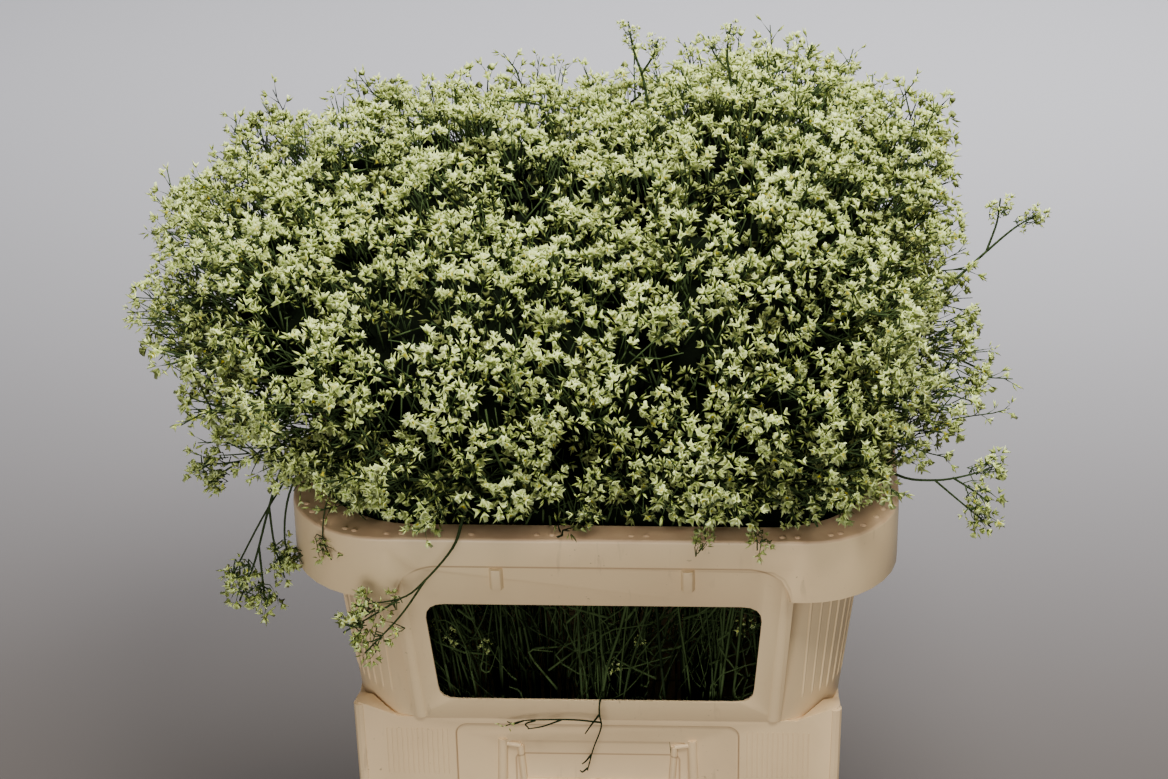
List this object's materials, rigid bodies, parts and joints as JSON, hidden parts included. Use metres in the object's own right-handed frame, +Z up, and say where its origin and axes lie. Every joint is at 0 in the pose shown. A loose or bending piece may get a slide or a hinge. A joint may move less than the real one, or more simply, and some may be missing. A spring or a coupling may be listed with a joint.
{
  "type": "cut flowers in a bucket",
  "caption": "Bunches of small cream statice flowers on green stems, held upright in a rectangular plastic flower bucket by a flared collar with a window.",
  "frame": {"origin": "middle of the flat underside of the bucket", "axes": "+Z up, +X along the bucket's longer side, and the front with its window faces -Y"},
  "size_m": [0.7591, 0.6127, 0.8701],
  "materials": {
    "bucket_plastic": "satin, lightly scuffed",
    "collar_plastic": "satin, lightly scuffed",
    "water": "clear",
    "floret_cream": "matt petals",
    "spray_green": "matt buds and petals",
    "stem_green": "matt",
    "dry_twig": "matt, dry"
  },
  "bodies": {
    "root": {"bucket": "bucket_plastic", "collar": "collar_plastic", "water": "water", "broken_twig": "dry_twig", "spray_over_front_rim": "spray_green", "spray_left_hanging": "spray_green", "spray_left_low": "spray_green", "spray_right_low": "spray_green", "spray_right_high": "spray_green", "sprig_top_left": "spray_green", "sprig_top_right": "spray_green", "flowers_01": "floret_cream", "stems_01": "stem_green", "flowers_02": "floret_cream", "stems_02": "stem_green", "flowers_03": "floret_cream", "stems_03": "stem_green", "flowers_04": "floret_cream", "stems_04": "stem_green", "flowers_05": "floret_cream", "stems_05": "stem_green", "flowers_06": "floret_cream", "stems_06": "stem_green", "flowers_07": "floret_cream", "stems_07": "stem_green", "flowers_08": "floret_cream", "stems_08": "stem_green", "flowers_09": "floret_cream", "stems_09": "stem_green", "flowers_10": "floret_cream", "stems_10": "stem_green", "flowers_11": "floret_cream", "stems_11": "stem_green", "flowers_12": "floret_cream", "stems_12": "stem_green", "flowers_13": "floret_cream", "stems_13": "stem_green", "flowers_14": "floret_cream", "stems_14": "stem_green", "flowers_15": "floret_cream", "stems_15": "stem_green", "flowers_16": "floret_cream", "stems_16": "stem_green", "flowers_17": "floret_cream", "stems_17": "stem_green", "flowers_18": "floret_cream", "stems_18": "stem_green", "flowers_19": "floret_cream", "stems_19": "stem_green", "flowers_20": "floret_cream", "stems_20": "stem_green"}
  },
  "joints": []
}
